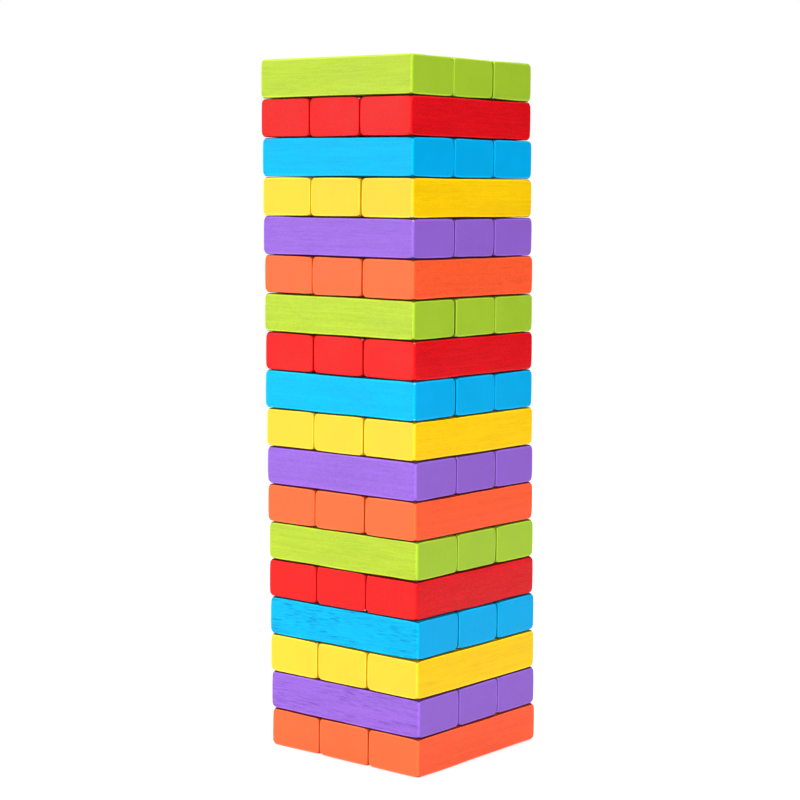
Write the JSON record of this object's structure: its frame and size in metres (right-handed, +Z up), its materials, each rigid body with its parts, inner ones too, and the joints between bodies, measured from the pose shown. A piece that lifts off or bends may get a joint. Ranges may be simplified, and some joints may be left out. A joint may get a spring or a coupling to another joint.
{
  "type": "tumbling tower",
  "caption": "Giant tumbling tower of painted wooden blocks in crossed layers of repeating colours; each block pushes or pulls out of the stack along its own length.",
  "frame": {"origin": "middle of the bounding box's footprint, on the surface that the tower stands on", "axes": "+Z up the tower; the even layers' blocks lie along X and the odd layers' blocks along Y, counted from the bottom; -Y is the front"},
  "size_m": [0.2012, 0.1998, 0.6855],
  "materials": {
    "orange_paint": "satin opaque paint on sanded solid wood",
    "purple_paint": "satin opaque paint on sanded solid wood",
    "yellow_paint": "satin opaque paint on sanded solid wood",
    "blue_paint": "satin opaque paint on sanded solid wood",
    "red_paint": "satin opaque paint on sanded solid wood",
    "green_paint": "satin opaque paint on sanded solid wood"
  },
  "bodies": {
    "layer_01_orange_left": {"layer_01_orange_left": "orange_paint"},
    "base_block": {"layer_01_orange_middle": "orange_paint"},
    "layer_01_orange_right": {"layer_01_orange_right": "orange_paint"},
    "layer_02_purple_back": {"layer_02_purple_back": "purple_paint"},
    "layer_02_purple_front": {"layer_02_purple_front": "purple_paint"},
    "layer_02_purple_middle": {"layer_02_purple_middle": "purple_paint"},
    "layer_03_yellow_left": {"layer_03_yellow_left": "yellow_paint"},
    "layer_03_yellow_middle": {"layer_03_yellow_middle": "yellow_paint"},
    "layer_03_yellow_right": {"layer_03_yellow_right": "yellow_paint"},
    "layer_04_blue_back": {"layer_04_blue_back": "blue_paint"},
    "layer_04_blue_front": {"layer_04_blue_front": "blue_paint"},
    "layer_04_blue_middle": {"layer_04_blue_middle": "blue_paint"},
    "layer_05_red_left": {"layer_05_red_left": "red_paint"},
    "layer_05_red_middle": {"layer_05_red_middle": "red_paint"},
    "layer_05_red_right": {"layer_05_red_right": "red_paint"},
    "layer_06_green_back": {"layer_06_green_back": "green_paint"},
    "layer_06_green_front": {"layer_06_green_front": "green_paint"},
    "layer_06_green_middle": {"layer_06_green_middle": "green_paint"},
    "layer_07_orange_left": {"layer_07_orange_left": "orange_paint"},
    "layer_07_orange_middle": {"layer_07_orange_middle": "orange_paint"},
    "layer_07_orange_right": {"layer_07_orange_right": "orange_paint"},
    "layer_08_purple_back": {"layer_08_purple_back": "purple_paint"},
    "layer_08_purple_front": {"layer_08_purple_front": "purple_paint"},
    "layer_08_purple_middle": {"layer_08_purple_middle": "purple_paint"},
    "layer_09_yellow_left": {"layer_09_yellow_left": "yellow_paint"},
    "layer_09_yellow_middle": {"layer_09_yellow_middle": "yellow_paint"},
    "layer_09_yellow_right": {"layer_09_yellow_right": "yellow_paint"},
    "layer_10_blue_back": {"layer_10_blue_back": "blue_paint"},
    "layer_10_blue_front": {"layer_10_blue_front": "blue_paint"},
    "layer_10_blue_middle": {"layer_10_blue_middle": "blue_paint"},
    "layer_11_red_left": {"layer_11_red_left": "red_paint"},
    "layer_11_red_middle": {"layer_11_red_middle": "red_paint"},
    "layer_11_red_right": {"layer_11_red_right": "red_paint"},
    "layer_12_green_back": {"layer_12_green_back": "green_paint"},
    "layer_12_green_front": {"layer_12_green_front": "green_paint"},
    "layer_12_green_middle": {"layer_12_green_middle": "green_paint"},
    "layer_13_orange_left": {"layer_13_orange_left": "orange_paint"},
    "layer_13_orange_middle": {"layer_13_orange_middle": "orange_paint"},
    "layer_13_orange_right": {"layer_13_orange_right": "orange_paint"},
    "layer_14_purple_back": {"layer_14_purple_back": "purple_paint"},
    "layer_14_purple_front": {"layer_14_purple_front": "purple_paint"},
    "layer_14_purple_middle": {"layer_14_purple_middle": "purple_paint"},
    "layer_15_yellow_left": {"layer_15_yellow_left": "yellow_paint"},
    "layer_15_yellow_middle": {"layer_15_yellow_middle": "yellow_paint"},
    "layer_15_yellow_right": {"layer_15_yellow_right": "yellow_paint"},
    "layer_16_blue_back": {"layer_16_blue_back": "blue_paint"},
    "layer_16_blue_front": {"layer_16_blue_front": "blue_paint"},
    "layer_16_blue_middle": {"layer_16_blue_middle": "blue_paint"},
    "layer_17_red_left": {"layer_17_red_left": "red_paint"},
    "layer_17_red_middle": {"layer_17_red_middle": "red_paint"},
    "layer_17_red_right": {"layer_17_red_right": "red_paint"},
    "layer_18_green_back": {"layer_18_green_back": "green_paint"},
    "layer_18_green_front": {"layer_18_green_front": "green_paint"},
    "layer_18_green_middle": {"layer_18_green_middle": "green_paint"}
  },
  "joints": [
    {"name": "slide_layer_01_orange_left", "type": "slide", "parent": "base_block", "child": "layer_01_orange_left", "axis": [0.0025, 1, 0], "range_m": [-0.2, 0.2]},
    {"name": "slide_layer_01_orange_right", "type": "slide", "parent": "base_block", "child": "layer_01_orange_right", "axis": [0.0025, 1, 0], "range_m": [-0.2, 0.2]},
    {"name": "slide_layer_02_purple_back", "type": "slide", "parent": "base_block", "child": "layer_02_purple_back", "axis": [1, 0.0015, 0], "range_m": [-0.2, 0.2]},
    {"name": "slide_layer_02_purple_front", "type": "slide", "parent": "base_block", "child": "layer_02_purple_front", "axis": [1, 0.0015, 0], "range_m": [-0.2, 0.2]},
    {"name": "slide_layer_02_purple_middle", "type": "slide", "parent": "base_block", "child": "layer_02_purple_middle", "axis": [1, 0.0015, 0], "range_m": [-0.2, 0.2]},
    {"name": "slide_layer_03_yellow_left", "type": "slide", "parent": "base_block", "child": "layer_03_yellow_left", "axis": [0.0025, 1, 0], "range_m": [-0.2, 0.2]},
    {"name": "slide_layer_03_yellow_middle", "type": "slide", "parent": "base_block", "child": "layer_03_yellow_middle", "axis": [0.0025, 1, 0], "range_m": [-0.2, 0.2]},
    {"name": "slide_layer_03_yellow_right", "type": "slide", "parent": "base_block", "child": "layer_03_yellow_right", "axis": [0.0025, 1, 0], "range_m": [-0.2, 0.2]},
    {"name": "slide_layer_04_blue_back", "type": "slide", "parent": "base_block", "child": "layer_04_blue_back", "axis": [1, 0.0021, 0], "range_m": [-0.2, 0.2]},
    {"name": "slide_layer_04_blue_front", "type": "slide", "parent": "base_block", "child": "layer_04_blue_front", "axis": [1, 0.0021, 0], "range_m": [-0.2, 0.2]},
    {"name": "slide_layer_04_blue_middle", "type": "slide", "parent": "base_block", "child": "layer_04_blue_middle", "axis": [1, 0.0021, 0], "range_m": [-0.2, 0.2]},
    {"name": "slide_layer_05_red_left", "type": "slide", "parent": "base_block", "child": "layer_05_red_left", "axis": [0.0017, 1, 0], "range_m": [-0.2, 0.2]},
    {"name": "slide_layer_05_red_middle", "type": "slide", "parent": "base_block", "child": "layer_05_red_middle", "axis": [0.0017, 1, 0], "range_m": [-0.2, 0.2]},
    {"name": "slide_layer_05_red_right", "type": "slide", "parent": "base_block", "child": "layer_05_red_right", "axis": [0.0017, 1, 0], "range_m": [-0.2, 0.2]},
    {"name": "slide_layer_06_green_back", "type": "slide", "parent": "base_block", "child": "layer_06_green_back", "axis": [1, 0.0006, 0], "range_m": [-0.2, 0.2]},
    {"name": "slide_layer_06_green_front", "type": "slide", "parent": "base_block", "child": "layer_06_green_front", "axis": [1, 0.0006, 0], "range_m": [-0.2, 0.2]},
    {"name": "slide_layer_06_green_middle", "type": "slide", "parent": "base_block", "child": "layer_06_green_middle", "axis": [1, 0.0006, 0], "range_m": [-0.2, 0.2]},
    {"name": "slide_layer_07_orange_left", "type": "slide", "parent": "base_block", "child": "layer_07_orange_left", "axis": [-0.0012, 1, 0], "range_m": [-0.2, 0.2]},
    {"name": "slide_layer_07_orange_middle", "type": "slide", "parent": "base_block", "child": "layer_07_orange_middle", "axis": [-0.0012, 1, 0], "range_m": [-0.2, 0.2]},
    {"name": "slide_layer_07_orange_right", "type": "slide", "parent": "base_block", "child": "layer_07_orange_right", "axis": [-0.0012, 1, 0], "range_m": [-0.2, 0.2]},
    {"name": "slide_layer_08_purple_back", "type": "slide", "parent": "base_block", "child": "layer_08_purple_back", "axis": [1, 0.0008, 0], "range_m": [-0.2, 0.2]},
    {"name": "slide_layer_08_purple_front", "type": "slide", "parent": "base_block", "child": "layer_08_purple_front", "axis": [1, 0.0008, 0], "range_m": [-0.2, 0.2]},
    {"name": "slide_layer_08_purple_middle", "type": "slide", "parent": "base_block", "child": "layer_08_purple_middle", "axis": [1, 0.0008, 0], "range_m": [-0.2, 0.2]},
    {"name": "slide_layer_09_yellow_left", "type": "slide", "parent": "base_block", "child": "layer_09_yellow_left", "axis": [0.0023, 1, 0], "range_m": [-0.2, 0.2]},
    {"name": "slide_layer_09_yellow_middle", "type": "slide", "parent": "base_block", "child": "layer_09_yellow_middle", "axis": [0.0023, 1, 0], "range_m": [-0.2, 0.2]},
    {"name": "slide_layer_09_yellow_right", "type": "slide", "parent": "base_block", "child": "layer_09_yellow_right", "axis": [0.0023, 1, 0], "range_m": [-0.2, 0.2]},
    {"name": "slide_layer_10_blue_back", "type": "slide", "parent": "base_block", "child": "layer_10_blue_back", "axis": [1, 0.0024, 0], "range_m": [-0.2, 0.2]},
    {"name": "slide_layer_10_blue_front", "type": "slide", "parent": "base_block", "child": "layer_10_blue_front", "axis": [1, 0.0024, 0], "range_m": [-0.2, 0.2]},
    {"name": "slide_layer_10_blue_middle", "type": "slide", "parent": "base_block", "child": "layer_10_blue_middle", "axis": [1, 0.0024, 0], "range_m": [-0.2, 0.2]},
    {"name": "slide_layer_11_red_left", "type": "slide", "parent": "base_block", "child": "layer_11_red_left", "axis": [-0.0014, 1, 0], "range_m": [-0.2, 0.2]},
    {"name": "slide_layer_11_red_middle", "type": "slide", "parent": "base_block", "child": "layer_11_red_middle", "axis": [-0.0014, 1, 0], "range_m": [-0.2, 0.2]},
    {"name": "slide_layer_11_red_right", "type": "slide", "parent": "base_block", "child": "layer_11_red_right", "axis": [-0.0014, 1, 0], "range_m": [-0.2, 0.2]},
    {"name": "slide_layer_12_green_back", "type": "slide", "parent": "base_block", "child": "layer_12_green_back", "axis": [1, -0.002, 0], "range_m": [-0.2, 0.2]},
    {"name": "slide_layer_12_green_front", "type": "slide", "parent": "base_block", "child": "layer_12_green_front", "axis": [1, -0.002, 0], "range_m": [-0.2, 0.2]},
    {"name": "slide_layer_12_green_middle", "type": "slide", "parent": "base_block", "child": "layer_12_green_middle", "axis": [1, -0.002, 0], "range_m": [-0.2, 0.2]},
    {"name": "slide_layer_13_orange_left", "type": "slide", "parent": "base_block", "child": "layer_13_orange_left", "axis": [0.0021, 1, 0], "range_m": [-0.2, 0.2]},
    {"name": "slide_layer_13_orange_middle", "type": "slide", "parent": "base_block", "child": "layer_13_orange_middle", "axis": [0.0021, 1, 0], "range_m": [-0.2, 0.2]},
    {"name": "slide_layer_13_orange_right", "type": "slide", "parent": "base_block", "child": "layer_13_orange_right", "axis": [0.0021, 1, 0], "range_m": [-0.2, 0.2]},
    {"name": "slide_layer_14_purple_back", "type": "slide", "parent": "base_block", "child": "layer_14_purple_back", "axis": [1, -0.0009, 0], "range_m": [-0.2, 0.2]},
    {"name": "slide_layer_14_purple_front", "type": "slide", "parent": "base_block", "child": "layer_14_purple_front", "axis": [1, -0.0009, 0], "range_m": [-0.2, 0.2]},
    {"name": "slide_layer_14_purple_middle", "type": "slide", "parent": "base_block", "child": "layer_14_purple_middle", "axis": [1, -0.0009, 0], "range_m": [-0.2, 0.2]},
    {"name": "slide_layer_15_yellow_left", "type": "slide", "parent": "base_block", "child": "layer_15_yellow_left", "axis": [-0.0005, 1, 0], "range_m": [-0.2, 0.2]},
    {"name": "slide_layer_15_yellow_middle", "type": "slide", "parent": "base_block", "child": "layer_15_yellow_middle", "axis": [-0.0005, 1, 0], "range_m": [-0.2, 0.2]},
    {"name": "slide_layer_15_yellow_right", "type": "slide", "parent": "base_block", "child": "layer_15_yellow_right", "axis": [-0.0005, 1, 0], "range_m": [-0.2, 0.2]},
    {"name": "slide_layer_16_blue_back", "type": "slide", "parent": "base_block", "child": "layer_16_blue_back", "axis": [1, -0.0014, 0], "range_m": [-0.2, 0.2]},
    {"name": "slide_layer_16_blue_front", "type": "slide", "parent": "base_block", "child": "layer_16_blue_front", "axis": [1, -0.0014, 0], "range_m": [-0.2, 0.2]},
    {"name": "slide_layer_16_blue_middle", "type": "slide", "parent": "base_block", "child": "layer_16_blue_middle", "axis": [1, -0.0014, 0], "range_m": [-0.2, 0.2]},
    {"name": "slide_layer_17_red_left", "type": "slide", "parent": "base_block", "child": "layer_17_red_left", "axis": [-0.0015, 1, 0], "range_m": [-0.2, 0.2]},
    {"name": "slide_layer_17_red_middle", "type": "slide", "parent": "base_block", "child": "layer_17_red_middle", "axis": [-0.0015, 1, 0], "range_m": [-0.2, 0.2]},
    {"name": "slide_layer_17_red_right", "type": "slide", "parent": "base_block", "child": "layer_17_red_right", "axis": [-0.0015, 1, 0], "range_m": [-0.2, 0.2]},
    {"name": "slide_layer_18_green_back", "type": "slide", "parent": "base_block", "child": "layer_18_green_back", "axis": [1, 0.0007, 0], "range_m": [-0.2, 0.2]},
    {"name": "slide_layer_18_green_front", "type": "slide", "parent": "base_block", "child": "layer_18_green_front", "axis": [1, 0.0007, 0], "range_m": [-0.2, 0.2]},
    {"name": "slide_layer_18_green_middle", "type": "slide", "parent": "base_block", "child": "layer_18_green_middle", "axis": [1, 0.0007, 0], "range_m": [-0.2, 0.2]}
  ]
}
